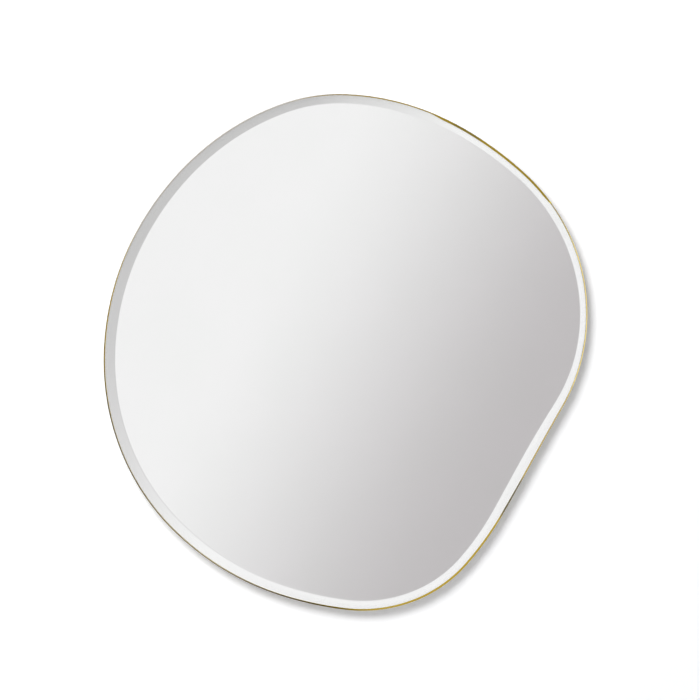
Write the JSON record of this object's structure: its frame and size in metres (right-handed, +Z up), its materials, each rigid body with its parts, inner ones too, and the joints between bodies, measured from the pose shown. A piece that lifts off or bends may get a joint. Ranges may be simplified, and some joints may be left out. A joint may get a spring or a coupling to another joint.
{
  "type": "irregular wall mirror",
  "caption": "Bevelled wall mirror with an irregular pebble outline in a thin brass band, backed by a board and hung on keyhole plates.",
  "frame": {"origin": "on the wall plane, midway between the entry holes of the two keyhole plates", "axes": "+Z up, +X right as seen from the room, +Y into the wall: the mirror faces -Y"},
  "size_m": [0.6533, 0.0214, 0.6981],
  "materials": {
    "brass_band": "fine brushed and lacquered",
    "brass_fitting": "plain rolled sheet",
    "screw_steel": "zinc plated",
    "clear_glass": "clear float glass, ground and polished bevel",
    "silvering": "silvered, painted behind",
    "film": "woven-look polythene safety film",
    "bonding_foam": "closed-cell foam tape",
    "fibreboard": "medium-density fibreboard, sanded",
    "zinc_plate": "bright zinc plated",
    "bumper_rubber": "matt"
  },
  "bodies": {
    "root": {"frame_band": "brass_band", "seam_plate": "brass_fitting", "frame_tab_1": "brass_fitting", "frame_tab_2": "brass_fitting", "frame_tab_3": "brass_fitting", "frame_tab_4": "brass_fitting", "frame_tab_5": "brass_fitting", "frame_tab_6": "brass_fitting", "frame_tab_7": "brass_fitting", "frame_tab_8": "brass_fitting", "tab_screws": "screw_steel", "mirror_glass": "clear_glass", "silver_layer": "silvering", "safety_film": "film", "bonding_strip_1": "bonding_foam", "bonding_strip_2": "bonding_foam", "bonding_strip_3": "bonding_foam", "bonding_strip_4": "bonding_foam", "bonding_strip_5": "bonding_foam", "backing_board": "fibreboard", "hanger_left": "zinc_plate", "hanger_right": "zinc_plate", "hanger_screws": "screw_steel", "bumper_1": "bumper_rubber", "bumper_2": "bumper_rubber", "bumper_3": "bumper_rubber", "bumper_4": "bumper_rubber"}
  },
  "joints": []
}
